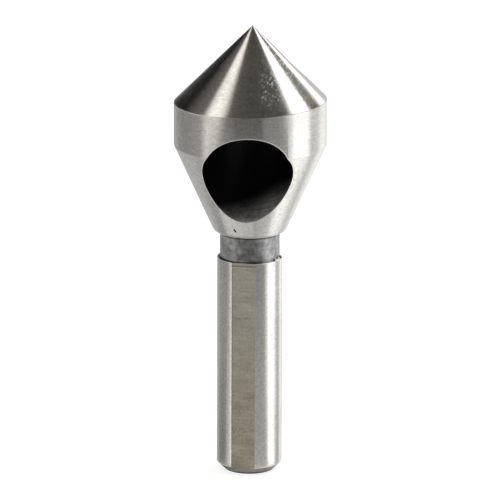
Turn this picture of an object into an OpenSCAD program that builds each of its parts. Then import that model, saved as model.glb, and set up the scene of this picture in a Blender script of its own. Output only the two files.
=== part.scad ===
// Cross-hole countersink bit, turned, milled, drilled and ground from one bar of tool steel.
// Millimetres. The origin is the centre of the shank's end face, and +Z runs along the tool
// to its point. The lower mouth of the cross hole faces -Y, and so does the first shank flat.

/* [Head] */
// Diameter of the straight band, which is the widest part
head_d = 28; // [22:0.5:36]
// Angle across the cone at the point
point_angle = 90; // [60:5:115]
// Length of the straight band, measured on the tool's axis to the foot of the cone
band_len = 8.2; // [4:0.1:14]
// Length of the back taper, from the band down to the foot of the head
taper_len = 16.5; // [10:0.1:24]
// Diameter at the foot of the head, before its corner is rounded
foot_d = 13; // [12.4:0.1:20]
// Radius that rounds the corner at the foot of the head
foot_round = 1.5; // [0.3:0.1:1.5]

/* [Relief] */
// How far the ground cone is set off from the tool's axis, which clears the heel of the cut
relief_offset = 0.41; // [0:0.01:1]
// Direction of that offset round the tool, in degrees from +X towards +Y
relief_dir = 27; // [0:1:359]

/* [Cross hole] */
// Diameter of the hole that runs across the head and lets the chips out
hole_d = 16.4; // [6:0.1:18]
// Rise of the hole's axis above level, towards +Y
hole_tilt = 42.4; // [30:0.1:50]
// How far the hole's axis is set off sideways, which brings one edge of it over the centre
hole_side = 1.5; // [0:0.1:3]
// Depth below the tip at which the hole's axis passes the tool's axis
hole_drop = 16.6; // [14:0.1:20]

/* [Neck] */
// Diameter of the neck between the head and the shank
neck_d = 11; // [7:0.1:11.5]
// Length of the neck
neck_len = 4.8; // [1:0.1:12]

/* [Shank] */
// Diameter of the shank, which the chuck grips
shank_d = 12; // [12:0.1:14]
// Length of the shank
shank_len = 40.5; // [25:0.5:60]
// Width of the 45 degree chamfer on the end of the shank
end_chamfer = 1.5; // [0.3:0.1:3]

/* [Shank flats] */
// Number of flats milled along the shank for the jaws
flat_count = 3; // [1:1:6]
// Direction that the first flat faces, in degrees from +X towards +Y
flat_dir = -90; // [-180:1:180]
// Depth of each flat below the round of the shank
flat_depth = 0.42; // [0.1:0.01:1]

/* [Hidden] */
$fn = 128;

// How far a cutter runs past the metal that it takes away
over = 1;

head_r = head_d / 2;
foot_r = foot_d / 2;
neck_r = neck_d / 2;
shank_r = shank_d / 2;

foot_z = shank_len + neck_len;
band_z = foot_z + taper_len;
cone_len = head_r / tan(point_angle / 2);
tip_z = band_z + band_len + cone_len;

taper_angle = atan((head_r - foot_r) / taper_len);
foot_tangent = foot_round / tan((90 + taper_angle) / 2);

// Half of the section of the turned bar, sharp at every corner
module turned_outline() {
    polygon([
        [0, 0],
        [shank_r - end_chamfer, 0],
        [shank_r, end_chamfer],
        [shank_r, shank_len],
        [neck_r, shank_len],
        [neck_r, foot_z],
        [foot_r, foot_z],
        [head_r, band_z],
        [head_r, tip_z],
        [0, tip_z],
    ]);
}

// The sliver of section that rounding the foot of the head takes off
module foot_corner() {
    corner = [foot_r, foot_z];
    level_end = corner - [foot_tangent, 0];
    slope_end = corner + foot_tangent * [sin(taper_angle), cos(taper_angle)];
    centre = level_end + [0, foot_round];
    difference() {
        polygon([centre, level_end, corner, slope_end]);
        translate(centre) circle(r = foot_round);
    }
}

// The bar as it leaves the lathe, with the head still a plain cylinder up to the tip
module turned_bar() {
    rotate_extrude()
        difference() {
            turned_outline();
            foot_corner();
        }
}

// The cone that the point is ground to, wide enough lower down to clear the rest of the bar
module point_cone() {
    depth = tip_z + over;
    translate([relief_offset * cos(relief_dir), relief_offset * sin(relief_dir), -over])
        cylinder(h = depth, r1 = depth * tan(point_angle / 2), r2 = 0);
}

// The drill that makes the cross hole
module hole_drill() {
    reach = 2 * (head_d + hole_d);
    translate([hole_side, 0, tip_z - hole_drop])
        rotate([hole_tilt - 90, 0, 0])
            cylinder(h = reach, d = hole_d, center = true);
}

// The metal that one flat takes off, for a flat that faces +X. The cut runs out over the neck
module flat_cutter() {
    flat_x = shank_r - flat_depth;
    width = shank_d + 2 * over;
    translate([flat_x, -width / 2, -over])
        cube([flat_depth + over, width, shank_len + 1.5 * over]);
}

module countersink_bit() {
    color("silver")
        difference() {
            intersection() {
                turned_bar();
                point_cone();
            }
            hole_drill();
            for (i = [0 : flat_count - 1])
                rotate([0, 0, flat_dir + i * 360 / flat_count])
                    flat_cutter();
        }
}

countersink_bit();
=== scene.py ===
# %% [markdown]
# # A cross-hole countersink bit
# This lesson dresses one hand-sized tool: a cone-pointed bit of ground tool steel with a hole
# drilled slantwise through its head. The CAD model gives the size and the place of everything.
# Here the same tool is made again as a mesh, in the order in which a workshop works: turned, ground
# to a point, drilled across, milled with flats. Then every face gets its finish.
# Blender's lengths are in metres, and the tool stands on its shank along +Z.

# %% Load the frame
import math

import bpy
from mathutils import Matrix, Vector


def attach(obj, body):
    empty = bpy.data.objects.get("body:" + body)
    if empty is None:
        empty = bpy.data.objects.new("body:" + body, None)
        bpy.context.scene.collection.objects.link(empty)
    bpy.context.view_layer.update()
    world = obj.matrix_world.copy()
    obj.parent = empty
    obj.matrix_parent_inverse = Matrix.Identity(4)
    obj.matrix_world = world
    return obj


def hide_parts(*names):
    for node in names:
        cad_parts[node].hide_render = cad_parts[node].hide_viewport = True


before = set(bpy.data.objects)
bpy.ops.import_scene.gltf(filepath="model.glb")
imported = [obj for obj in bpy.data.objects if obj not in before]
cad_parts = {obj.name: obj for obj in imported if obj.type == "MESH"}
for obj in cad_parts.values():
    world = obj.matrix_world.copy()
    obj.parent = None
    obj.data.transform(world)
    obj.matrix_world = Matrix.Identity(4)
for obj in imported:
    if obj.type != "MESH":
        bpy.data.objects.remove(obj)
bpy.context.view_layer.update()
scene = bpy.context.scene
scene.view_settings.view_transform = "Standard"
MM = 0.001

# %% [markdown]
# ## The sizes
# These are the sizes of the CAD source, in millimetres, so that the mesh and the solid agree.
# Small radii are added where a real edge is never quite sharp: a turned corner catches a thin
# line of light only because it is rounded a little.

# %% Sizes of the tool
HEAD_R = 14.0
FOOT_R = 6.5
FOOT_ROUND = 1.5
NECK_R = 5.5
SHANK_R = 6.0
SHANK_TOP = 40.5
FOOT_Z = 45.3
BAND_Z = 61.8
TIP_Z = 84.0
END_CHAMFER = 1.5
POINT_SHIFT = Vector((0.365, 0.186, 0.0))
HOLE_R = 8.2
HOLE_TILT = math.radians(42.4)
HOLE_SIDE = 1.5
HOLE_Z = TIP_Z - 16.6
FLAT_X = 5.58
FLATS = (-90.0, 30.0, 150.0)
AROUND = 360
print("Head", 2 * HEAD_R, "mm, shank", 2 * SHANK_R, "mm, length", TIP_Z, "mm")

# %% [markdown]
# ## The camera
# A long lens far away keeps the sides of the tool nearly parallel. The camera stands about
# 15 degrees above level, a little to the right of the cross hole's lower mouth, and leans by a
# fifth of a degree, as a camera on a tripod does.

# %% Camera
VIEW_AZIMUTH = math.radians(11.7)
VIEW_ELEVATION = math.radians(14.785)
VIEW_ROLL = math.radians(0.198)
VIEW_DISTANCE = 1148.0 * MM
AIM_HEIGHT = 41.633 * MM
AIM_RIGHT = 0.034 * MM
LENS_MM = 449.42


def add_camera():
    """A camera that looks at the middle of the tool from the front, slightly from above."""
    flat = math.cos(VIEW_ELEVATION)
    back = Vector((math.sin(VIEW_AZIMUTH) * flat, -math.cos(VIEW_AZIMUTH) * flat,
                   math.sin(VIEW_ELEVATION)))
    level = Vector((math.cos(VIEW_AZIMUTH), math.sin(VIEW_AZIMUTH), 0.0))
    upward = back.cross(level)
    right = level * math.cos(VIEW_ROLL) + upward * math.sin(VIEW_ROLL)
    up = upward * math.cos(VIEW_ROLL) - level * math.sin(VIEW_ROLL)
    aim = Vector((0.0, 0.0, AIM_HEIGHT)) + level * AIM_RIGHT
    bpy.ops.object.camera_add(location=aim + back * VIEW_DISTANCE)
    camera = bpy.context.object
    camera.name = "view_camera"
    camera.data.lens = LENS_MM
    turned = Matrix((right, up, back)).transposed().to_4x4()
    camera.matrix_world = Matrix.Translation(camera.location) @ turned
    return camera


scene.camera = add_camera()
print("Camera at", [round(v, 3) for v in scene.camera.matrix_world.translation], "m")

# %% [markdown]
# ## Helpers for modelling
# An operator works on everything that is selected, so each step starts by letting go of all and
# picking one thing. Points are picked in code, by where they are.

# %% Modelling helpers
ARC_STEP = 12.0


def let_go():
    """Leaves edit mode and deselects everything."""
    if bpy.context.mode != "OBJECT":
        bpy.ops.object.mode_set(mode="OBJECT")
    bpy.ops.object.select_all(action="DESELECT")


def pick(piece):
    """Selects one object alone and makes it the active one."""
    let_go()
    piece.select_set(True)
    bpy.context.view_layer.objects.active = piece


def select_where(piece, kind, test):
    """Selects the vertices, edges or faces of a piece that pass a test, then enters edit mode."""
    pick(piece)
    bpy.ops.object.mode_set(mode="EDIT")
    bpy.ops.mesh.select_mode(type=kind)
    bpy.ops.mesh.select_all(action="DESELECT")
    bpy.ops.object.mode_set(mode="OBJECT")
    mesh = piece.data
    parts = {"VERT": mesh.vertices, "EDGE": mesh.edges, "FACE": mesh.polygons}[kind]
    found = 0
    for part in parts:
        if test(part):
            part.select = True
            found += 1
    bpy.ops.object.mode_set(mode="EDIT")
    return found


def cut(piece, tool, operation):
    """Applies a Boolean of a tool to a piece and throws the tool away."""
    pick(piece)
    step = piece.modifiers.new("cut", "BOOLEAN")
    step.object = tool
    step.operation = operation
    step.solver = "EXACT"
    bpy.ops.object.modifier_apply(modifier=step.name)
    bpy.data.objects.remove(tool)
    print(operation.lower(), "leaves", len(piece.data.polygons), "faces")


def rounded(points, radii):
    """Replaces the sharp corners of an outline by arcs in mm, one point per ARC_STEP degrees."""
    made = []
    for index, corner in enumerate(points):
        radius = radii.get(index, 0.0)
        here = Vector(corner)
        if radius == 0.0:
            made.append(here)
            continue
        into = (Vector(points[index - 1]) - here).normalized()
        out = (Vector(points[index + 1]) - here).normalized()
        opening = into.angle(out)
        reach = radius / math.tan(opening / 2)
        middle = here + (into + out).normalized() * (radius / math.sin(opening / 2))
        first = (here + into * reach - middle).normalized()
        last = (here + out * reach - middle).normalized()
        steps = max(2, round(math.degrees(math.pi - opening) / ARC_STEP))
        for step in range(steps + 1):
            made.append(middle + first.slerp(last, step / steps) * radius)
    return made


# %% [markdown]
# ## Turning the bar
# The real bit starts as a bar in a lathe. A mesh does it the same way: one point is pushed along
# half of the section, edge by edge, and the edges are spun once round the axis. The foot of the
# head has a large round corner, and the other corners get radii of a tenth of a millimetre or so.

# %% Turned bar
OUTLINE = [
    (0.0, 0.0),
    (SHANK_R - END_CHAMFER, 0.0),
    (SHANK_R, END_CHAMFER),
    (SHANK_R, SHANK_TOP),
    (NECK_R, SHANK_TOP),
    (NECK_R, FOOT_Z),
    (FOOT_R, FOOT_Z),
    (HEAD_R, BAND_Z),
    (HEAD_R, TIP_Z),
    (0.0, TIP_Z),
]
CORNER_RADII = {1: 0.15, 2: 0.12, 3: 0.08, 4: 0.1, 5: 0.15, 6: FOOT_ROUND}
SEAM_MERGE = 0.002


def turn_bar():
    """Pushes a point along half of the section and spins the edges round the axis."""
    let_go()
    bpy.ops.mesh.primitive_plane_add(size=MM)
    bar = bpy.context.object
    bar.name = "countersink_steel"
    bpy.ops.object.mode_set(mode="EDIT")
    bpy.ops.mesh.select_mode(type="VERT")
    bpy.ops.mesh.merge(type="CENTER")
    line = rounded(OUTLINE, CORNER_RADII)
    for start, end in zip(line, line[1:]):
        push = ((end.x - start.x) * MM, 0.0, (end.y - start.y) * MM)
        bpy.ops.mesh.extrude_region_move(TRANSFORM_OT_translate={"value": push})
    bpy.ops.mesh.select_all(action="SELECT")
    bpy.ops.mesh.spin(steps=AROUND, angle=math.tau, center=(0, 0, 0), axis=(0, 0, 1))
    bpy.ops.mesh.select_all(action="SELECT")
    bpy.ops.mesh.remove_doubles(threshold=SEAM_MERGE * MM)
    bpy.ops.mesh.normals_make_consistent(inside=False)
    let_go()
    print("Outline of", len(line), "points,", len(bar.data.polygons), "faces")
    return bar


bit = turn_bar()

# %% [markdown]
# ## Grinding the point
# The cone is ground with its axis set off sideways from the axis of the bar, which gives the
# cutting edge its clearance. So it isn't part of the turned outline: the bar is trimmed by a wide
# cone that stands off centre. A second, steeper cone breaks the edge between the cone and the
# band by a few hundredths of a millimetre. It leans, because that edge leans too. Both cones are
# turned by part of a step, so that none of their corners meets a corner of the bar.

# %% Ground point
TIP_FLAT_R = 0.04
POINT_HEIGHT = 24.0
POINT_TURN = math.radians(0.5)
POINT_SKIRT = 62.0
EDGE_BREAK = 0.03
EDGE_SLOPE = math.tan(math.radians(22.5))
EDGE_BELOW = 4.0
EDGE_ABOVE = 20.0
EDGE_TURN = math.radians(0.25)
EDGE_SKIRT = 70.0


def draw_down(cone, distance):
    """Draws the base of a cone down past the end of the shank, wide of the head."""
    select_where(cone, "FACE", lambda face: face.normal.z < -0.9)
    push = {"value": (0, 0, -distance * MM)}
    bpy.ops.mesh.extrude_region_move(TRANSFORM_OT_translate=push)
    let_go()
    return cone


def point_cone():
    """A cone of 90 degrees over the shifted axis, with a wide skirt that clears the rest."""
    let_go()
    place = POINT_SHIFT + Vector((0.0, 0.0, TIP_Z - TIP_FLAT_R - POINT_HEIGHT / 2))
    bpy.ops.mesh.primitive_cone_add(vertices=AROUND, radius1=(POINT_HEIGHT + TIP_FLAT_R) * MM,
                                    radius2=TIP_FLAT_R * MM, depth=POINT_HEIGHT * MM,
                                    location=place * MM, rotation=(0, 0, POINT_TURN))
    return draw_down(bpy.context.object, POINT_SKIRT)


def edge_cone():
    """A steep cone that leans with the edge of the band and takes off its sharp corner."""
    let_go()
    edge_z = TIP_Z - HEAD_R
    edge_r = HEAD_R - EDGE_BREAK
    hinge = Vector((-POINT_SHIFT.y, POINT_SHIFT.x, 0.0)).normalized()
    lean = Matrix.Rotation(-math.atan2(POINT_SHIFT.length, HEAD_R), 3, hinge)
    turned = lean @ Matrix.Rotation(EDGE_TURN, 3, "Z")
    middle = Vector((0, 0, edge_z)) + turned @ Vector((0, 0, (EDGE_ABOVE - EDGE_BELOW) / 2))
    bpy.ops.mesh.primitive_cone_add(vertices=AROUND,
                                    radius1=(edge_r + EDGE_SLOPE * EDGE_BELOW) * MM,
                                    radius2=(edge_r - EDGE_SLOPE * EDGE_ABOVE) * MM,
                                    depth=(EDGE_BELOW + EDGE_ABOVE) * MM,
                                    location=middle * MM, rotation=turned.to_euler())
    return draw_down(bpy.context.object, EDGE_SKIRT)


cut(bit, point_cone(), "INTERSECT")
cut(bit, edge_cone(), "INTERSECT")

# %% [markdown]
# ## Drilling the cross hole
# The hole that lets the chips out rises through the head from the lower mouth in front to the cone
# behind, and its axis passes a little to one side of the tool's axis. A long cylinder does what
# the drill does. On the real bit the rim is broken with a stroke of a stone, and that bright line
# round the dark hole is what the eye finds first. A bevel would tangle in the many small faces
# there, so a line is scribed round the hole first, and the rim itself is then pushed in a little.

# %% Cross hole
DRILL_SIDES = 256
DRILL_LENGTH = 62.0
RIM_WIDTH = 0.15
RIM_PUSH = 0.08
RIM_NEAR = 0.004
HOLE_AXIS = Vector((0.0, math.cos(HOLE_TILT), math.sin(HOLE_TILT)))
HOLE_POINT = Vector((HOLE_SIDE, 0.0, HOLE_Z))


def drill(radius, ends):
    """A cylinder along the slanted hole. Radius in mm."""
    let_go()
    bpy.ops.mesh.primitive_cylinder_add(vertices=DRILL_SIDES, radius=radius * MM,
                                        depth=DRILL_LENGTH * MM, end_fill_type=ends,
                                        location=HOLE_POINT * MM,
                                        rotation=(HOLE_TILT - math.pi / 2, 0.0, 0.0))
    return bpy.context.object


def from_hole_axis(point):
    """The vector from the axis of the cross hole to a point, in mm."""
    apart = Vector(point) / MM - HOLE_POINT
    return apart - HOLE_AXIS * apart.dot(HOLE_AXIS)


def scribe(piece, tube):
    """Marks a line of edges on a piece where the wall of a tube passes through it."""
    piece.data.materials.append(bpy.data.materials.new("bar"))
    tube.data.materials.append(bpy.data.materials.new("tube"))
    pick(piece)
    tube.select_set(True)
    bpy.ops.object.join()
    select_where(piece, "FACE", lambda face: face.material_index == 1)
    bpy.ops.mesh.intersect(mode="SELECT_UNSELECT", separate_mode="NONE", solver="EXACT")
    select_where(piece, "FACE", lambda face: face.material_index == 1)
    bpy.ops.mesh.delete(type="FACE")
    let_go()
    piece.data.materials.clear()


def break_rim(piece):
    """Pushes the rim of the hole into the metal, which leaves a narrow chamfer."""
    found = select_where(piece, "VERT",
                         lambda v: abs(from_hole_axis(v.co).length - HOLE_R) < RIM_NEAR)
    bpy.ops.transform.shrink_fatten(value=-RIM_PUSH * MM)
    let_go()
    print("Rim points:", found)


scribe(bit, drill(HOLE_R + RIM_WIDTH, "NOTHING"))
cut(bit, drill(HOLE_R, "NGON"), "DIFFERENCE")
break_rim(bit)

# %% [markdown]
# ## Milling the flats
# Three shallow flats along the shank stop it from slipping in a chuck with three jaws. The cutter
# runs out over the neck, which is thin enough to stay clear of it, and it leaves a fine line across
# each flat just below the top.

# %% Flats
CUTTER_DEEP = 2.0
CUTTER_WIDE = 14.0
CUTTER_BELOW = 1.0
CUTTER_RUN_OUT = 0.5
LINE_BELOW_TOP = 0.7
LINE_HEIGHT = 0.12
LINE_DEPTH = 0.05


def cutter(direction, inner, low, high):
    """A block beyond a plane that faces a direction round the tool. Sizes in mm."""
    let_go()
    place = Vector((inner + CUTTER_DEEP / 2, 0.0, (low + high) / 2)) * MM
    turn = Matrix.Rotation(math.radians(direction), 3, "Z")
    size = (CUTTER_DEEP * MM, CUTTER_WIDE * MM, (high - low) * MM)
    bpy.ops.mesh.primitive_cube_add(size=1.0, location=turn @ place, rotation=turn.to_euler(),
                                    scale=size)
    return bpy.context.object


line_z = SHANK_TOP - LINE_BELOW_TOP
for direction in FLATS:
    cut(bit, cutter(direction, FLAT_X, -CUTTER_BELOW, SHANK_TOP + CUTTER_RUN_OUT), "DIFFERENCE")
    cut(bit, cutter(direction, FLAT_X - LINE_DEPTH, line_z, line_z + LINE_HEIGHT), "DIFFERENCE")

# %% [markdown]
# ## Marks of use
# Two small accidents show that the tool is real: a nick low on the taper, and a little torn burr
# where the lathe tool left the corner of the shank. The nick is cut with a thin slanted lens, and
# the burr is a row of crumbs joined to the corner. Each crumb has its place in degrees to the right
# of the view, its size, its lift above the corner and its finish.

# %% Nick and burr
NICK = Vector((-1.3, -7.16, 47.0))
NICK_HALF = (0.2, 0.3, 0.5)
NICK_LEAN = math.radians(-30)
CRUMB_SHAPE = (0.7, 1.0, 0.8)
CRUMB_INSIDE = 0.7
BURR = [(54, 0.2, 0.28, "torn"), (55, 0.22, 0.08, "torn"), (50, 0.17, 0.0, "shoulder"),
        (61, 0.24, 0.02, "torn"), (65, 0.24, 0.26, "torn"), (67, 0.26, 0.04, "torn"),
        (72.5, 0.24, 0.43, "shoulder"), (75, 0.26, 0.24, "shoulder"),
        (78, 0.26, 0.04, "shoulder"), (84, 0.14, 0.0, "torn")]


def lens(place, halves, turn):
    """A small ball stretched along its own axes, in mm."""
    let_go()
    bpy.ops.mesh.primitive_ico_sphere_add(subdivisions=3, radius=1.0, location=place * MM,
                                          rotation=turn.to_euler(),
                                          scale=[half * MM for half in halves])
    return bpy.context.object


def nick_turn():
    """Faces the lens out of the metal and leans it as the nick leans."""
    around = math.atan2(NICK.y, NICK.x) + math.pi / 2
    return Matrix.Rotation(around, 3, "Z") @ Matrix.Rotation(NICK_LEAN, 3, "Y")


def burr_place(plan, size, lift):
    """The middle of a crumb on the corner of the shank, and the direction that it faces."""
    turn = VIEW_AZIMUTH - math.pi / 2 + math.radians(plan)
    out = SHANK_R - size * CRUMB_INSIDE
    return Vector((math.cos(turn) * out, math.sin(turn) * out, SHANK_TOP + lift)), turn


cut(bit, lens(NICK, NICK_HALF, nick_turn()), "DIFFERENCE")
for plan, size, lift, _ in BURR:
    crumb, turn = burr_place(plan, size, lift)
    halves = [size * share for share in CRUMB_SHAPE]
    cut(bit, lens(crumb, halves, Matrix.Rotation(turn + size, 3, "Z")), "UNION")

# %% [markdown]
# ## Cleaning the mesh
# The cuts leave a few double points and slivers, which are merged away. Faces are shaded smooth
# up to an angle that only real edges pass.

# %% Clean mesh
MERGE = 0.001
SLIVER = 0.0005
SMOOTH_ANGLE = math.radians(20)


def finish_mesh(piece):
    """Merges doubles, turns the faces outwards and smooths what isn't an edge."""
    pick(piece)
    bpy.ops.object.mode_set(mode="EDIT")
    bpy.ops.mesh.select_all(action="SELECT")
    bpy.ops.mesh.remove_doubles(threshold=MERGE * MM)
    bpy.ops.mesh.dissolve_degenerate(threshold=SLIVER * MM)
    bpy.ops.mesh.normals_make_consistent(inside=False)
    pick(piece)
    bpy.ops.object.shade_smooth_by_angle(angle=SMOOTH_ANGLE)
    let_go()


finish_mesh(bit)
print("Clean mesh of", len(bit.data.polygons), "faces")

# %% [markdown]
# ## Shader maths as plain arithmetic
# A shader is a graph of boxes, and sums in it are hard to read. One small class wraps an output of
# such a box, so that a sum of two wires adds the Math box that works it out.

# %% Shader helper
class Wire:
    """One output socket. Arithmetic on wires adds Math nodes to the same shader."""

    def __init__(self, tree, socket):
        self.tree = tree
        self.socket = socket

    def math(self, operation, *others):
        """A Math node of this wire and the others."""
        return node(self.tree, "ShaderNodeMath", {"operation": operation},
                    dict(enumerate((self,) + others)))

    def most(self, other):
        """The larger of two values."""
        return self.math("MAXIMUM", other)

    def unsigned(self):
        """The value without its sign."""
        return self.math("ABSOLUTE")

    def __add__(self, other):
        return self.math("ADD", other)

    __radd__ = __add__

    def __sub__(self, other):
        return self.math("SUBTRACT", other)

    def __rsub__(self, other):
        return (self * -1.0).math("ADD", other)

    def __mul__(self, other):
        return self.math("MULTIPLY", other)

    def __truediv__(self, other):
        return self.math("DIVIDE", other)

    def steps(self, low, high):
        """0 below low and 1 above high, with a soft step between. It falls where low is larger."""
        if low > high:
            return 1.0 - self.steps(high, low)
        return node(self.tree, "ShaderNodeMapRange", {"interpolation_type": "SMOOTHSTEP"},
                    {"Value": self, "From Min": low, "From Max": high})


def node(tree, kind, settings=None, values=None, out=0):
    """Adds one node: first its settings, then the values or wires of its sockets."""
    made = tree.nodes.new(kind)
    for name, setting in (settings or {}).items():
        setattr(made, name, setting)
    for name, value in (values or {}).items():
        socket = made.inputs[name]
        if isinstance(value, Wire):
            tree.links.new(value.socket, socket)
        else:
            socket.default_value = value
    return Wire(tree, made.outputs[out])


def new_material(name):
    """An empty material and its node tree."""
    material = bpy.data.materials.new(name)
    material.use_nodes = True
    tree = material.node_tree
    tree.nodes.clear()
    return material, tree


def finish_material(tree, shader):
    """Plugs the last shader into the output."""
    end = tree.nodes.new("ShaderNodeOutputMaterial")
    tree.links.new(shader.socket, end.inputs["Surface"])


# %% [markdown]
# ## The stage
# Shiny steel looks like what it mirrors, so the stage matters as much as the metal. A photographer
# puts a tall soft box on each side and dark cards between them, and stands the tool on white.
# The cards and soft boxes show in the steel only, and the camera looks past them. Each one is
# placed by the faces that mirror it: a span of plan angles, in degrees to the right of the camera,
# and a span of tilts above level.

# %% Stage
HEAD_HEIGHT = 50.0 * MM
BOX_DISTANCE = 0.9
DIM_DISTANCE = 0.95
CARD_DISTANCE = 1.0
CARD_LIFT = 0.001
FAN_LIFT = 1.5
SIDE_TILTS = (-6, 66)
LOW_TILTS = (-12, 18)
LEFT_TILTS = (-2, 78)
TO_CAMERA = Vector((0.0, -math.cos(VIEW_ELEVATION), math.sin(VIEW_ELEVATION)))


def mirrored(plan, tilt):
    """Where a face mirrors the camera's view to: it is turned plan degrees to the right of the
    camera and tilted up by tilt degrees."""
    turn = math.radians(plan)
    rise = math.radians(tilt)
    facing = Vector((math.sin(turn) * math.cos(rise), -math.cos(turn) * math.cos(rise),
                     math.sin(rise)))
    away = 2.0 * facing.dot(TO_CAMERA) * facing - TO_CAMERA
    return Matrix.Rotation(VIEW_AZIMUTH, 3, "Z") @ away


def between(span, share):
    """The value at a share of the way along a span."""
    return span[0] + (span[1] - span[0]) * share


def on_stage(sheet, name, material):
    """Names a sheet, gives it its material and keeps it out of the camera's sight."""
    sheet.name = name
    sheet.visible_camera = False
    sheet.data.materials.append(material)


def hang(name, low_plans, high_plans, tilts, distance, material):
    """A bent sheet that the faces between two plan angles and two tilts mirror. The plan angles
    are given at the low tilt and at the high tilt."""
    let_go()
    bpy.ops.mesh.primitive_grid_add(x_subdivisions=4, y_subdivisions=12, size=1.0)
    sheet = bpy.context.object
    for point in sheet.data.vertices:
        across = point.co.x + 0.5
        up = point.co.y + 0.5
        plan = between((between(low_plans, across), between(high_plans, across)), up)
        way = mirrored(plan, between(tilts, up))
        point.co = Vector((0.0, 0.0, HEAD_HEIGHT)) + way * distance
    on_stage(sheet, name, material)
    return sheet


def glow_material(name, strength, soft, warmth=0.0):
    """A soft box: a lamp that fades towards its two long edges."""
    material, tree = new_material(name)
    place = node(tree, "ShaderNodeTexCoord", out="UV")
    apart = node(tree, "ShaderNodeSeparateXYZ", None, {0: place})
    from_edge = 0.5 - (apart - 0.5).unsigned()
    colour = (1.0, 1.0 - warmth / 2, 1.0 - warmth, 1.0)
    lit = node(tree, "ShaderNodeEmission", None,
               {"Color": colour, "Strength": from_edge.steps(0.0, soft) * strength})
    finish_material(tree, lit)
    return material


def card_material(name, shade, warmth=0.0):
    """A card of one even brightness, a little warm where it stands for the room."""
    material, tree = new_material(name)
    colour = (shade, shade * (1.0 - warmth / 4), shade * (1.0 - warmth), 1.0)
    paint = node(tree, "ShaderNodeEmission", None, {"Color": colour})
    finish_material(tree, paint)
    return material


def hide_from_rough(sheet):
    """Lets only shiny surfaces see a card, so that it takes no light from the rest."""
    sheet.visible_diffuse = False
    sheet.visible_shadow = False


BLACK_CARD = card_material("black_card", 0.015)
ROOM_CARD = card_material("room_card", 0.092, 0.18)
LEFT_ROOM = card_material("left_room", 0.112, 0.18)
SIDE_ROOM = card_material("side_room", 0.14, 0.18)
for name, low, high, tilts, glow in [
        ("right_soft_box", (31.8, 54.8), (26.2, 49.8), SIDE_TILTS,
         glow_material("right_glow", 2.9, 0.25)),
        ("left_soft_box", (-41, -15.8), (-40, -17), SIDE_TILTS,
         glow_material("left_glow", 1.84, 0.35, 0.06)),
        ("back_soft_box", (62, 79), (62, 79), (17, 60), glow_material("back_glow", 2.4, 0.2)),
        ("low_back_box", (68, 77), (66, 78), (-10, 17),
         glow_material("low_back_glow", 2.6, 0.3))]:
    hang(name, low, high, tilts, BOX_DISTANCE, glow)
for name, low, high, tilts, card in [
        ("front_card", (-6, 29), (-6, 29), SIDE_TILTS, ROOM_CARD),
        ("front_left_card", (-13, -6), (-13, -6), SIDE_TILTS, LEFT_ROOM),
        ("side_left_card", (-20, -13), (-20, -13), SIDE_TILTS, SIDE_ROOM),
        ("left_back_card", (-106, -38), (-106, -38), LEFT_TILTS, BLACK_CARD),
        ("right_back_card", (50, 64), (49, 64), (18, 70), BLACK_CARD),
        ("right_low_card", (56, 69), (53, 66), LOW_TILTS, card_material("pale_card", 0.5)),
        ("right_edge_card", (76, 83), (77, 83), LOW_TILTS, card_material("edge_card", 0.18)),
        ("right_rim_card", (83, 97), (83, 97), LOW_TILTS, card_material("rim_card", 0.85)),
        ("right_far_card", (81, 99), (81, 99), (18, 70), card_material("far_card", 0.66))]:
    hide_from_rough(hang(name, low, high, tilts, CARD_DISTANCE, card))
hide_from_rough(hang("left_dim_card", (-64.5, -17), (-64.5, -17), LEFT_TILTS, DIM_DISTANCE,
                     glow_material("left_dim_glow", 0.195, 0.5, 0.12)))

# %% [markdown]
# ## What the shank mirrors
# The round shank mirrors the floor near its foot, so the floor has its own cards. Most of them are
# fans that start at the shank, and each fan shows in one upright stripe of it: its two plan angles
# are the borders of that stripe, and its reach in millimetres says how far up the stripe goes.

# %% Cards on the floor
def floor_card(name, across, along, shade):
    """A card on the floor. Spans in metres from the tool's foot."""
    let_go()
    bpy.ops.mesh.primitive_plane_add(size=1.0)
    sheet = bpy.context.object
    place = Vector((sum(across) / 2, -sum(along) / 2, CARD_LIFT))
    sheet.location = Matrix.Rotation(VIEW_AZIMUTH, 3, "Z") @ place
    sheet.rotation_euler = (0, 0, VIEW_AZIMUTH)
    sheet.scale = (across[1] - across[0], along[1] - along[0], 1.0)
    on_stage(sheet, name, card_material(name, shade))
    hide_from_rough(sheet)


def floor_fan(name, plans, reach, shade):
    """A fan of rays over the floor, from the foot of the shank to where its faces mirror."""
    let_go()
    bpy.ops.mesh.primitive_grid_add(x_subdivisions=8, y_subdivisions=1, size=1.0)
    sheet = bpy.context.object
    for point in sheet.data.vertices:
        plan = math.radians(between(plans, point.co.x + 0.5))
        out = between(reach, point.co.y + 0.5)
        face = VIEW_AZIMUTH - math.pi / 2 + plan
        away = face + plan
        point.co = Vector((math.cos(face) * SHANK_R + math.cos(away) * out,
                           math.sin(face) * SHANK_R + math.sin(away) * out, FAN_LIFT)) * MM
    on_stage(sheet, name, card_material(name, shade))
    hide_from_rough(sheet)


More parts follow.
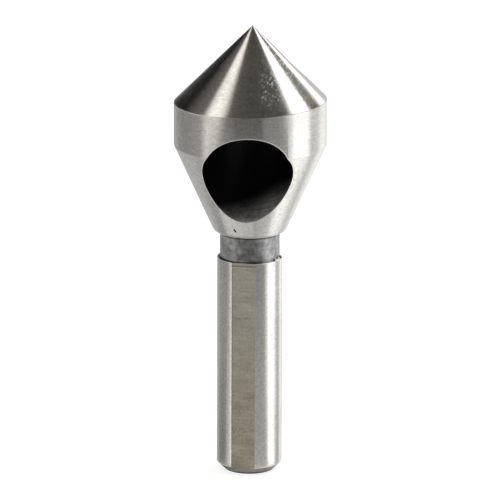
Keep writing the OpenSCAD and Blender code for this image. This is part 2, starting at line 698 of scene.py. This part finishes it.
floor_card("front_floor_card", (-0.5, 0.3), (0.125, 1.2), 0.03)
floor_card("left_floor_card", (-1.2, -0.27), (-1.2, 0.125), 0.19)
floor_card("near_left_card", (-0.27, 0.0), (-0.5, 0.125), 0.76)
floor_card("right_floor_card", (0.2, 0.6), (-0.12, 0.12), 1.2)
floor_card("neck_side_card", (0.03, 0.2), (-0.12, 0.12), 1.8)
FANS = [
    ("edge_fan", (-90, -79), (1, 62), 0.9),
    ("left_fan", (-79, -68), (1, 62), 0.64),
    ("dull_left_fan", (-68, -47), (1, 62), 0.39),
    ("pale_left_fan", (-47, -41), (1, 150), 0.87),
    ("bright_left_fan", (-41, -34), (1, 150), 1.25),
    ("taper_fan", (-34, 9), (1, 42), 1.25),
    ("dark_front_fan", (-13, 9), (42, 160), 0.33),
    ("front_fan", (9, 22), (1, 80), 0.76),
    ("pale_front_fan", (22, 29), (1, 80), 0.78),
    ("far_front_fan", (9, 29), (80, 160), 0.92),
    ("low_front_fan", (29, 36.5), (1, 60), 0.6),
    ("bright_fan", (36.5, 52.5), (1, 125), 1.8),
    ("dull_fan", (56, 69), (1, 125), 0.74),
    ("right_fan", (70, 76), (1, 125), 1.4),
    ("right_edge_fan", (76, 88), (1, 125), 0.8),
]
for fan in FANS:
    floor_fan(*fan)
print("Fans on the floor:", len(FANS))

# %% [markdown]
# ## The floor and the air
# The floor is grey paint with a glow added where the camera or a mirror sees it, so it reads white
# and still takes the tool's shadow. The air is white where it is seen and dimmer as a light.

# %% Floor and world
FLOOR_GLOW = 0.78
FLOOR_PAINT = 0.36
AMBIENT = 0.55


def seen_directly(tree):
    """1 for rays that show the background: from the camera, a mirror or glass."""
    path = node(tree, "ShaderNodeLightPath")
    rays = path.socket.node.outputs
    camera = Wire(tree, rays["Is Camera Ray"])
    return camera.most(Wire(tree, rays["Is Glossy Ray"])).most(
        Wire(tree, rays["Is Transmission Ray"]))


def add_floor():
    """A floor that reads white to the camera and keeps the tool's shadow."""
    let_go()
    bpy.ops.mesh.primitive_plane_add(size=12.0)
    ground = bpy.context.object
    ground.name = "floor"
    material, tree = new_material("white_floor")
    paint = node(tree, "ShaderNodeBsdfDiffuse", None,
                 {"Color": (FLOOR_PAINT, FLOOR_PAINT, FLOOR_PAINT, 1.0)})
    lit = node(tree, "ShaderNodeEmission", None,
               {"Color": (1.0, 1.0, 1.0, 1.0), "Strength": seen_directly(tree) * FLOOR_GLOW})
    both = node(tree, "ShaderNodeAddShader", None, {0: paint, 1: lit})
    finish_material(tree, both)
    ground.data.materials.append(material)


def set_world():
    """White where it is seen, and an even soft light for everything else."""
    world = bpy.data.worlds.new("white_studio")
    scene.world = world
    world.use_nodes = True
    tree = world.node_tree
    tree.nodes.clear()
    strength = seen_directly(tree) * (1.0 - AMBIENT) + AMBIENT
    air = node(tree, "ShaderNodeBackground", None,
               {"Color": (1.0, 1.0, 1.0, 1.0), "Strength": strength})
    end = tree.nodes.new("ShaderNodeOutputWorld")
    tree.links.new(air.socket, end.inputs["Surface"])


add_floor()
set_world()

# %% [markdown]
# ## Places for patterns
# Every pattern reads the object's own coordinates in millimetres, so it stays on the tool. Turned
# lines need a place that runs round the axis without a seam: the direction from the axis, which is
# the same all along such a line, and the height.

# %% Pattern helpers
def blend(factor, first, second):
    """Mixes two colours."""
    return node(factor.tree, "ShaderNodeMix", {"data_type": "RGBA"},
                {0: factor, 6: first, 7: second}, 2)


def grey(value, warmth=0.0, brown=0.25):
    """A grey, made warmer by taking away some blue, and a share of that in green."""
    return (value, value * (1.0 - warmth * brown), value * (1.0 - warmth), 1.0)


def tone_of(*layers):
    """Adds up patterns round a middle of 0.5. Each layer is a pattern and its share."""
    total = 0.5
    for pattern, share in layers:
        total = (pattern - 0.5) * share + total
    return total


def vector(x, y, z):
    """Three values as one vector."""
    return node(x.tree, "ShaderNodeCombineXYZ", None, {0: x, 1: y, 2: z})


def noise(spot, scale=1.0, detail=2.0, roughness=0.5):
    """Cloudy noise from 0 to 1."""
    return node(spot.tree, "ShaderNodeTexNoise", None,
                {"Vector": spot, "Scale": scale, "Detail": detail, "Roughness": roughness})


class Place:
    """A new material's places on the tool: x, y, z and the distance from the axis, in mm."""

    def __init__(self, name):
        self.material, self.tree = new_material(name)
        spot = node(self.tree, "ShaderNodeTexCoord", out="Object")
        self.spot = node(self.tree, "ShaderNodeVectorMath", {"operation": "SCALE"},
                         {0: spot, "Scale": 1.0 / MM})
        self.x, self.y, self.z = self.apart(self.spot)
        self.out = (self.x * self.x + self.y * self.y).math("SQRT").most(0.05)

    def apart(self, wire):
        """The three values of a vector."""
        split = node(self.tree, "ShaderNodeSeparateXYZ", None, {0: wire})
        return [Wire(self.tree, socket) for socket in split.socket.node.outputs]

    def ring(self, around, upward):
        """A place for turned lines: it changes slowly round the tool and fast along it."""
        return vector(self.x / self.out * around, self.y / self.out * around, self.z * upward)

    def along(self, direction, offset=0.0):
        """How far the point lies along a direction, in mm."""
        return node(self.tree, "ShaderNodeVectorMath", {"operation": "DOT_PRODUCT"},
                    {0: self.spot, 1: tuple(direction)}, "Value") - offset

    def near_line(self, start, end, radius):
        """1 on a straight line between two points, falling to 0 at a distance, in mm."""
        way = (end - start).normalized()
        run = self.along(way, start.dot(way)).most(0.0).math("MINIMUM", (end - start).length)
        nearest = node(self.tree, "ShaderNodeVectorMath", {"operation": "MULTIPLY_ADD"},
                       {0: run, 1: tuple(way), 2: tuple(start)})
        apart = node(self.tree, "ShaderNodeVectorMath", {"operation": "DISTANCE"},
                     {0: self.spot, 1: nearest}, "Value")
        return apart.steps(radius, 0.0)

    def to_right(self):
        """How far the point lies to the right of the axis, seen from the camera's side."""
        return self.along((math.cos(VIEW_AZIMUTH), math.sin(VIEW_AZIMUTH), 0.0))


def metal(place, values, height, depth):
    """Ends a metal that has fine relief, whose depth is in mm, and hands its material back."""
    relief = node(place.tree, "ShaderNodeBump", None, {"Distance": depth * MM, "Height": height})
    values = dict(values, Normal=relief)
    finish_material(place.tree, node(place.tree, "ShaderNodeBsdfPrincipled", None, values))
    return place.material


def grained(name, scale, detail, dark, pale, values, depth):
    """A metal whose colour and relief follow one fine grain."""
    place = Place(name)
    grain = noise(place.spot, scale=scale, detail=detail)
    values = dict(values, **{"Base Color": blend(grain, dark, pale)})
    return metal(place, values, grain, depth)


# %% [markdown]
# ## Ground steel
# A grinding wheel leaves fine lines round the tool. They spread a highlight along the tool and
# keep it narrow across, which an anisotropic metal shows. Coarser lines and faint clouds vary the
# colour. Dark specks are pits in the steel, and light specks are painted glints. Where the cone met
# something hard it carries two marks. One is a patch of scratches, painted pale as the light that
# they catch. On the right is a dull dented strip that pale streaks cross, painted highlights on its
# ridges.

# %% Ground steel material
SCRATCH_START = Vector((4.7, -4.3, 77.6))
SCRATCH_END = Vector((6.0, -9.6, 72.7))
SCRATCH_REACH = 2.7
SCRATCH_FADE = (78.5, 75.5)
# The lean of each kind of scratch in degrees, its length and width in mm, and its share
SCRATCHES = ((50, (1.1, 0.22), 0.45), (43, (0.8, 0.2), 0.35), (18, (1.1, 0.2), 0.14))
DENTED_PLAN = VIEW_AZIMUTH - math.pi / 2 + math.radians(60)
DENTED_FACING = Vector((math.cos(DENTED_PLAN), math.sin(DENTED_PLAN), 0.0))
DENTED_TOP = (82.5, 80.5)
DENTED_BOTTOM = (70.0, 71.5)
DULL_HALF = 0.135
DENTS_HALF = 0.3
RIDGE_LEAN = 19
RIDGE_FADE = (73.0, 76.0)
SPECKS_PER_MM = 0.9


def cone_axes(facing):
    """The directions across and up the cone where it faces a direction round the tool."""
    across = Vector((-facing.y, facing.x, 0.0))
    return across, (Vector((0.0, 0.0, 1.0)) - facing).normalized()


def leaning(across, up, lean):
    """The directions along and beside a mark that leans by some degrees."""
    angle = math.radians(lean)
    return (across * math.cos(angle) + up * math.sin(angle),
            up * math.cos(angle) - across * math.sin(angle))


def lucky(luck, share):
    """1 in a share of the cells of a pattern, and 0 in the others."""
    return luck.steps(1.0 - share, 1.02 - share)


def scattered(place, spot, scale):
    """Cells of a pattern: how far the middle of each is, and three lucky numbers of its own."""
    cells = node(place.tree, "ShaderNodeTexVoronoi", None, {"Vector": spot, "Scale": scale})
    return cells, place.apart(Wire(place.tree, cells.socket.node.outputs["Color"]))


def strokes(place, across, up, lean, size, share):
    """Short strokes of one direction, scattered over a surface. Sizes in mm, share from 0 to 1."""
    along, aside = leaning(across, up, lean)
    spot = vector(place.along(along) * (1.0 / size[0]),
                  place.along(aside) * (1.0 / size[1]), lean * 0.1)
    cells, luck = scattered(place, spot, 1.0)
    return cells.steps(0.45, 0.2) * lucky(luck[0], share) * (luck[1] * 0.75 + 0.25)


def scratches_and_highlights(place):
    """Fine strokes and crumbs on the cone, dense along a short line and rare beside it. They are
    scratches, and their pale colour paints the highlights that they catch.
    """
    across, up = cone_axes(Vector((SCRATCH_END.x, SCRATCH_END.y, 0.0)).normalized())
    crumbs = noise(place.spot, scale=5.5, detail=1.0).steps(0.58, 0.74)
    marks = crumbs * 0.3
    for lean, size, share in SCRATCHES:
        marks = marks.most(strokes(place, across, up, lean, size, share))
    near = place.near_line(SCRATCH_START, SCRATCH_END, SCRATCH_REACH)
    return marks * near.math("SQRT") * (place.z.steps(*SCRATCH_FADE) * 0.5 + 0.5)


def dented_strip(place, half_width):
    """1 on a narrow strip of the cone, from near the tip down to the band."""
    across, _ = cone_axes(DENTED_FACING)
    side = (place.along(across) / place.out).unsigned()
    above = place.z.steps(*DENTED_BOTTOM)
    below = place.z.steps(*DENTED_TOP)
    in_front = place.along(DENTED_FACING).steps(0.0, 0.1)
    return side.steps(half_width, half_width * 0.65) * above * below * in_front


def ridge_highlights(place):
    """Pale streaks and strokes across the cone, painted highlights where its ridges catch light.
    They are close together high up and rare low.
    """
    across, up = cone_axes(DENTED_FACING)
    along, aside = leaning(across, up, RIDGE_LEAN)
    ridges = noise(vector(place.along(along) * 0.5, place.along(aside) * 4.4, 0.0), detail=1.0)
    marks = ridges.steps(0.5, 0.62).most(strokes(place, across, up, 40, (0.9, 0.25), 0.3))
    return marks * (place.z.steps(*RIDGE_FADE) * 0.65 + 0.35)


def specks(place, size, share):
    """Small spots scattered over the surface."""
    cells, luck = scattered(place, place.spot, SPECKS_PER_MM)
    return cells.steps(size, size * 0.4) * lucky(luck[0], share)


def ground_steel():
    """Bright steel with the fine lines of the grinding wheel."""
    place = Place("ground_steel")
    coarse = noise(place.ring(6.0, 2.2), detail=3.0, roughness=0.7)
    fine = noise(place.ring(14.0, 5.5), detail=2.0, roughness=0.6)
    grain = noise(place.spot, scale=2.6, detail=2.0, roughness=0.7)
    clouds = noise(place.spot, scale=0.16, detail=2.0)
    pits = specks(place, 0.1, 0.2)
    glints = specks(place, 0.14, 0.36)
    marks = scratches_and_highlights(place).most(glints * 0.6)
    dull = dented_strip(place, DULL_HALF)
    streaks = ridge_highlights(place) * dull
    dents = noise(place.spot, scale=2.2, detail=2.0) * dented_strip(place, DENTS_HALF)
    tone = tone_of((coarse, 0.8), (fine, 0.7), (grain, 1.1), (clouds, 0.4))
    colour = blend(tone, grey(0.4, 0.11), grey(0.75, 0.05))
    colour = blend(pits * 0.4, colour, grey(0.2, 0.25))
    # Painted highlights: scratches and glints turn pale, as the light that they catch.
    colour = blend(marks * 0.9, colour, grey(0.9, 0.04))
    colour = blend(dull * 0.75, colour, grey(0.38, 0.24, 0.36))
    # Painted highlights: pale streaks where the ridges of the dull strip catch light.
    colour = blend(streaks * 0.9, colour, grey(0.85, 0.1, 0.36))
    pale_share = marks.most(streaks * 0.7) * 0.9
    rough = 0.31 + (coarse - 0.5) * 0.1 + pale_share * 0.2
    height = coarse * 0.5 + fine * 0.3 + grain * 0.3 + dents * 8.0
    values = {"Base Color": colour, "Metallic": 1.0 - pale_share.most(dull * 0.4), "Roughness": rough,
              "Anisotropic": 1.0, "Anisotropic Rotation": 0.25}
    return metal(place, values, height, 0.0025)


# %% [markdown]
# ## The other finishes
# The stone that broke the edges leaves a narrow chamfer, painted pale as the bright line of light
# along it. Torn metal is rough and pale, and its pale colour also paints the highlights that it
# catches. The heat of hardening leaves the neck dull and cloudy and the end dark. The neck also has
# painted shade in its two corners, and the end has painted shadow along its bottom and left side.
# The hole's wall is painted shade, nearly black, with painted light at its two mouths. The milling
# cutter leaves brownish flats with marks across them.

# %% Other materials
# Spans where a mark, a painted light or a painted shade fades in: to the right of the axis, up the
# tool, or along the hole, in mm
HIGHLIGHT_SIDE = (-5.0, -10.5)
LOWER_MOUTH = (-10.8, -20.0)
UPPER_MOUTH = (5.0, 12.5)
LIT_TURN = math.radians(10)
LIT_LIMIT = math.radians(26)
LIT_LEAN = 5.2
SHADED_SIDE = (3.2, 1.2)
SHADOW_BOTTOM = (0.65, 0.2)
SHADOW_SIDE = (-2.0, -4.8)
LIT_SIDE = (1.6, 3.4)
# Rubbed bands across the flats: height, outer and inner half width, and strength
SCUFFS = ((8.6, 0.75, 0.3, 0.8), (12.8, 0.4, 0.15, 0.6), (30.1, 0.4, 0.15, 0.4))


def edge_with_painted_highlight():
    """The narrow chamfer that a stone leaves along an edge, painted pale as a painted highlight: a
    bright line.
    """
    return grained("edge_with_painted_highlight", 3.0, 3.0, grey(0.8, 0.06), grey(0.98, 0.04),
                   {"Metallic": 0.7, "Roughness": 0.55}, 0.002)


def burr_with_painted_highlights():
    """Torn metal, too rough to mirror anything. Its near-white colour also paints the highlights
    that the crumbs catch.
    """
    return grained("burr_with_painted_highlights", 6.0, 2.0, grey(0.75, 0.04), grey(1.0, 0.02),
                   {"Metallic": 0.1, "Roughness": 0.5}, 0.004)


def painted_foot_highlight():
    """The last turn of the foot's round corner, a little yellow, and painted pale as the bright
    line of light along it.
    """
    return grained("painted_foot_highlight", 2.4, 3.0, grey(0.84, 0.2), grey(0.98, 0.2),
                   {"Metallic": 0.7, "Roughness": 0.45}, 0.002)


def ground_corner():
    """The corner between cone and band: the wheel left it sharp. On its left side, seen from the
    camera, it is painted bright as a painted highlight."""
    place = Place("ground_corner")
    grain = noise(place.spot, scale=2.4, detail=3.0)
    # Painted highlight: bright on the left side of the corner.
    painted_highlight = place.to_right().steps(*HIGHLIGHT_SIDE)
    plain = blend(grain, grey(0.3, 0.08), grey(0.5, 0.06))
    bright = blend(grain, grey(0.75, 0.06), grey(0.95, 0.04))
    colour = blend(painted_highlight, plain, bright)
    return metal(place, {"Base Color": colour, "Metallic": 1.0 - painted_highlight * 0.3, "Roughness": 0.5},
                 grain, 0.002)


def drilled_wall():
    """The wall of the cross hole, with rings from the drill. It is painted nearly black as painted
    shade, and brighter at the two mouths as painted light, reaching furthest in on one side."""
    place = Place("drilled_wall")
    level = Vector((1.0, 0.0, 0.0))
    upright = level.cross(HOLE_AXIS)
    deep = place.along(HOLE_AXIS, HOLE_POINT.dot(HOLE_AXIS))
    aside = place.along(level, HOLE_POINT.dot(level)) * (1.0 / HOLE_R)
    down = place.along(-upright, -HOLE_POINT.dot(upright)) * (1.0 / HOLE_R)
    rings = noise(vector(aside * 1.6, down * 1.6, deep * 3.0), detail=3.0, roughness=0.7)
    grain = noise(place.spot, scale=1.8, detail=3.0)
    streaks = noise(vector(aside * 6.0, down * 6.0, deep * 2.4), detail=1.0)
    # Painted light at the two mouths, reaching further in on one side; the rest is painted shade.
    side = aside.math("ARCTAN2", down).math("MINIMUM", LIT_LIMIT) - LIT_TURN
    lit_by_mouths = (deep - side * LIT_LEAN + (rings - 0.5) * 1.5).steps(*LOWER_MOUTH)
    lit_by_mouths = lit_by_mouths.most(deep.steps(*UPPER_MOUTH) * 0.6)
    tone = tone_of((rings, 2.4), (grain, 0.9))
    bright = blend(tone, grey(0.22), grey(0.92))
    bright = blend(streaks.steps(0.66, 0.76) * 0.4, bright, grey(0.95))
    colour = blend(lit_by_mouths, grey(0.004), bright)
    return metal(place, {"Base Color": colour, "Metallic": 0.85, "Roughness": 0.5,
                         "Specular IOR Level": 0.2}, tone, 0.004)


def neck_steel():
    """The neck: dull and cloudy, with faint turned lines, and painted shade in its two corners: all
    round under the head, and on the left side above the shank.
    """
    place = Place("neck_steel")
    lines = noise(place.ring(1.6, 3.2), detail=3.0)
    clouds = noise(place.spot, scale=0.7, detail=3.0, roughness=0.6)
    spots = noise(place.ring(5.0, 0.9), scale=1.3, detail=2.0)
    left = place.to_right().steps(*SHADED_SIDE)
    # Painted shade in the corners: all round under the head, and on the left above the shank.
    shade_under_head = place.z.steps(FOOT_Z - 0.55, FOOT_Z - 0.1)
    shade_at_shank_left = place.z.steps(SHANK_TOP + 0.35, SHANK_TOP + 0.05) * left
    tone = tone_of((lines, 0.4), (clouds, 1.7), (spots, 1.1))
    colour = blend(tone, grey(0.14), grey(0.41))
    colour = blend(shade_under_head.most(shade_at_shank_left) * 0.8, colour, grey(0.03))
    rough = 0.43 + (clouds - 0.5) * 0.2
    return metal(place, {"Base Color": colour, "Metallic": 1.0, "Roughness": rough}, clouds,
                 0.008)


def rubbed_bands(place):
    """How strongly a height on the flats is rubbed."""
    bands = [(place.z - height).unsigned().steps(outer, inner) * strength
             for height, outer, inner, strength in SCUFFS]
    return bands[0].most(bands[1]).most(bands[2])


def milled_flat():
    """A milled flat: brownish grey, with marks across it and a darker strip at the top."""
    place = Place("milled_flat")
    across = vector(place.x * 0.25, place.y * 0.25, place.z * 3.4)
    lines = noise(across, detail=3.0, roughness=0.6)
    wide = noise(vector(place.x * 0.2, place.y * 0.2, place.z * 0.4), detail=2.0)
    grain = noise(place.spot, scale=2.0, detail=3.0)
    below = SHANK_TOP - place.z
    line = below.steps(0.3, 0.45) * below.steps(0.8, 0.68)
    lip = below.steps(0.72, 0.82) * below.steps(1.02, 0.9)
    border = place.out.steps(5.9, 5.97) * place.x.steps(0.5, -0.5)
    low = place.z.steps(SHANK_TOP, 4.0)
    scuff = noise(place.spot, scale=2.4, detail=2.0).steps(0.42, 0.6) * rubbed_bands(place)
    tone = tone_of((lines, 1.5), (wide, low * 1.2 + 0.6), (grain, 1.3))
    top = blend(tone, grey(0.34, 0.21, 0.28), grey(0.52, 0.19, 0.28))
    bottom = blend(tone, grey(0.26, 0.36, 0.34), grey(0.43, 0.31, 0.34))
    colour = blend(low, top, bottom)
    colour = blend(scuff * 0.5, colour, grey(0.12, 0.3))
    colour = blend(line * 0.4, colour, grey(0.12, 0.1))
    colour = blend(border * 0.45, colour, grey(0.12, 0.1))
    colour = blend(lip * 0.25, colour, grey(0.8, 0.1))
    rough = 0.6 + (lines - 0.5) * 0.2
    return metal(place, {"Base Color": colour, "Metallic": 0.35, "Roughness": rough}, lines,
                 0.004)


def end_steel():
    """The chamfered end: turned and blued a little by hardening. It has painted shadow along its
    bottom and on its left side, and a pale line at its top is a painted highlight on the rounded
    edge.
    """
    place = Place("end_steel")
    lines = noise(place.ring(2.0, 7.0), detail=3.0)
    clouds = noise(place.spot, scale=0.5, detail=3.0)
    tone = tone_of((lines, 0.9), (clouds, 0.8))
    colour = blend(tone, grey(0.14, 0.08), grey(0.27, 0.06))
    # Painted shadow: darker along the bottom and on the left side.
    rim = place.z.steps(*SHADOW_BOTTOM)
    side = place.to_right().steps(*SHADOW_SIDE)
    colour = blend(rim.most(side) * 0.85, colour, grey(0.015))
    # Painted highlight: a pale line along the top of the chamfer.
    line = place.z.steps(END_CHAMFER - 0.17, END_CHAMFER - 0.12)
    colour = blend(line * 0.9, colour, grey(0.85, 0.3))
    return metal(place, {"Base Color": colour, "Metallic": 0.9 - line * 0.6, "Roughness": 0.45},
                 lines, 0.003)


def shoulder_steel():
    """The narrow step at the top of the shank and the bottom of the nick: painted nearly black as
    painted shade, and painted lighter on the step's right side as painted light."""
    place = Place("shoulder_steel")
    grain = noise(place.spot, scale=3.0, detail=3.0)
    # Painted light on the step's right side; the rest is painted shade, nearly black.
    pale_share = place.to_right().steps(*LIT_SIDE) * place.z.steps(SHANK_TOP + 0.03, SHANK_TOP)
    dark = blend(grain, grey(0.012), grey(0.05))
    colour = blend(pale_share, dark, blend(grain, grey(0.22), grey(0.5)))
    return metal(place, {"Base Color": colour, "Metallic": 0.9 - pale_share * 0.5, "Roughness": 0.4},
                 grain, 0.002)


# %% [markdown]
# ## Giving each face its finish
# The faces aren't named, but each finish has its own place: a height, a distance from the axis, or
# a distance from the axis of the hole.

# %% Finish by face
# Places are in mm, and a look is a share of the direction that a face looks in
SLACK = 0.03
WALL_LOOK = 0.93
FLAT_LOOK = 0.99999
NICK_RIGHT = Vector((-NICK.y, NICK.x, 0.0)).normalized()
NICK_REACH = 0.7
NICK_DEPTH = 0.02
CORNER_LOW = 68.0
CORNER_OUT = 13.7
CORNER_LOOK = (0.25, 0.55)
FOOT_HIGH = 0.6
FOOT_LOOK = -0.7


def taper_radius(height):
    """The radius of the back taper at a height, in mm."""
    return HEAD_R - (BAND_Z - height) * (HEAD_R - FOOT_R) / (BAND_Z - FOOT_Z)


def finish_at_hole(face, corners):
    """The finish of a face at the cross hole, or nothing away from it."""
    looks = abs(face.normal.dot(from_hole_axis(face.center).normalized()))
    furthest = max(from_hole_axis(corner).length for corner in corners)
    if looks > WALL_LOOK and furthest < HOLE_R + RIM_PUSH + SLACK:
        return "wall"
    return "edge" if furthest < HOLE_R + RIM_WIDTH + SLACK else None


def finish_in_nick(face, corners):
    """The finish of a face in the nick, or nothing away from it."""
    reach = max((corner / MM - NICK).length for corner in corners)
    depth = taper_radius(face.center.z / MM) - math.hypot(*face.center[:2]) / MM
    if reach < NICK_REACH and depth > NICK_DEPTH:
        return "edge" if face.normal.dot(NICK_RIGHT) < -0.3 else "shoulder"
    return None


def finish_of(face, corners):
    """The finish of a face, found from where its corners are and where it looks."""
    low = min(corner.z for corner in corners) / MM
    high = max(corner.z for corner in corners) / MM
    out = max(math.hypot(corner.x, corner.y) for corner in corners) / MM
    near = min(math.hypot(corner.x, corner.y) for corner in corners) / MM
    normal = face.normal
    if low > FOOT_Z - 0.05:
        found = finish_at_hole(face, corners) or finish_in_nick(face, corners)
        if found:
            return found
        if low > CORNER_LOW and out > CORNER_OUT and CORNER_LOOK[0] < normal.z < CORNER_LOOK[1]:
            return "corner"
        return "foot" if high < FOOT_Z + FOOT_HIGH and normal.z < FOOT_LOOK else "ground"
    if low > SHANK_TOP - 0.01 and out < NECK_R + 0.12:
        return "neck"
    if low > SHANK_TOP - 0.4 and near > NECK_R + 0.02:
        for plan, size, lift, finish in BURR:
            if (face.center / MM - burr_place(plan, size, lift)[0]).length < size * 1.02:
                return finish
    if low > SHANK_TOP - 0.1:
        return "edge" if near > SHANK_R - 0.1 and 0.1 < normal.z < 0.95 else "shoulder"
    # The top of the end chamfer takes the foot's pale finish, a painted highlight.
    if high < END_CHAMFER + 0.15 and normal.z < -0.1:
        return "foot" if low > END_CHAMFER - 0.1 else "end"
    turns = [math.radians(direction) for direction in FLATS]
    looks = max(normal.x * math.cos(turn) + normal.y * math.sin(turn) for turn in turns)
    if looks > FLAT_LOOK and near < FLAT_X + 0.5:
        return "flat"
    return "shoulder" if abs(normal.z) > 0.9 else "ground"


FINISHES = {"ground": ground_steel(), "edge": edge_with_painted_highlight(), "torn": burr_with_painted_highlights(),
            "corner": ground_corner(), "foot": painted_foot_highlight(), "wall": drilled_wall(),
            "neck": neck_steel(), "flat": milled_flat(), "end": end_steel(),
            "shoulder": shoulder_steel()}
finish_names = list(FINISHES)
bit.data.materials.clear()
for finish in FINISHES.values():
    bit.data.materials.append(finish)
counts = dict.fromkeys(finish_names, 0)
for face in bit.data.polygons:
    found = finish_of(face, [bit.data.vertices[index].co for index in face.vertices])
    face.material_index = finish_names.index(found)
    counts[found] += 1
print("Faces by finish:", counts)

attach(bit, "root")
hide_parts("countersink_bit")
